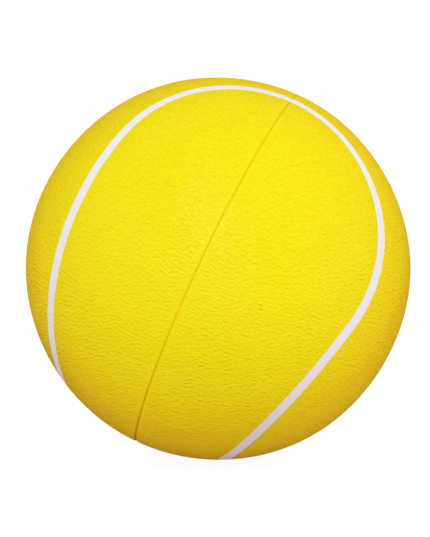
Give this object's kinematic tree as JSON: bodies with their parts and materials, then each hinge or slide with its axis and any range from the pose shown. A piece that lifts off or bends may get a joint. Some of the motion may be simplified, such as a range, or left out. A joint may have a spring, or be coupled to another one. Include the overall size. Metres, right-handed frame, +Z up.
{
  "type": "foam squeeze ball",
  "caption": "Foam squeeze ball dressed as a tennis ball: yellow skin halves over a foam core, a fine mould parting line and a white line winding round it.",
  "frame": {"origin": "centre of the ball", "axes": "+Z up as the ball lies in the picture, -Y towards the viewer, +X to the viewer's right"},
  "size_m": [0.0634, 0.0634, 0.0634],
  "materials": {
    "foam": "open-cell polyurethane foam, matte",
    "yellow_skin": "dense polyurethane skin, satin, finely wrinkled",
    "white_print": "printed ink, satin"
  },
  "bodies": {
    "root": {"foam_core": "foam", "skin_left": "yellow_skin", "skin_right": "yellow_skin", "line_left": "white_print", "line_right": "white_print"}
  },
  "joints": []
}
